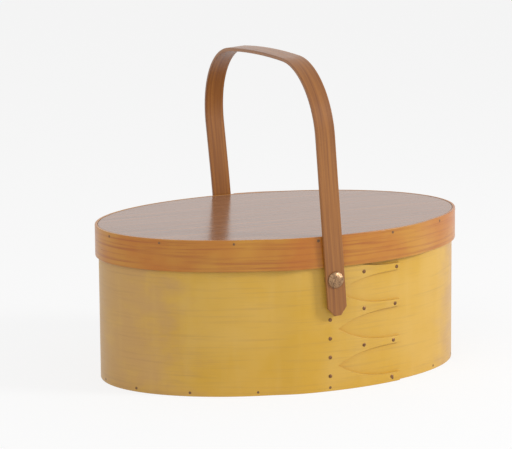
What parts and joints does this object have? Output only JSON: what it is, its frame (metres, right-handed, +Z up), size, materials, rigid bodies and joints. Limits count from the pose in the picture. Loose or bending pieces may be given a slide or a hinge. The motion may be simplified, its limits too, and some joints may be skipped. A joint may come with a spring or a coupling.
{
  "type": "oval lidded carrier box",
  "caption": "Oval box of steam-bent wooden bands with flat boards, a lift-off lid and a bentwood swing handle riveted to its sides.",
  "frame": {"origin": "middle of the underside, on the surface that the box stands on", "axes": "+X along the box towards the end that the fingers point to, -Y out of the front with the fingers, +Z up"},
  "size_m": [0.3054, 0.2226, 0.2598],
  "materials": {
    "body_wood": "yellow stain under worn satin varnish",
    "bottom_wood": "bare, darkened with age",
    "peg_wood": "end grain under varnish",
    "tack_metal": "aged copper",
    "lid_band_wood": "orange-brown stain under gloss varnish",
    "lid_board_wood": "warm brown under gloss varnish",
    "handle_wood": "orange-brown stain under gloss varnish",
    "rivet_metal": "aged copper",
    "spacer_wood": "stained and worn"
  },
  "bodies": {
    "body": {"body_band": "body_wood", "bottom_board": "bottom_wood", "bottom_pegs": "peg_wood", "finger_tacks": "tack_metal", "handle_rivets": "rivet_metal", "rivet_burrs": "rivet_metal", "front_spacer": "spacer_wood", "rear_spacer": "spacer_wood"},
    "lid": {"lid_band": "lid_band_wood", "lid_board": "lid_board_wood", "lid_pegs": "peg_wood", "lid_tacks": "tack_metal"},
    "handle": {"handle": "handle_wood"}
  },
  "joints": [
    {"name": "handle_swing", "type": "hinge", "parent": "body", "child": "handle", "pos_m": [0, 0, 0.09], "axis": [0, 1, 0], "range_deg": [-105.9, 114.1]},
    {"name": "lid_lift", "type": "slide", "parent": "body", "child": "lid", "axis": [0, 0, 1], "range_m": [0, 0.05]}
  ]
}
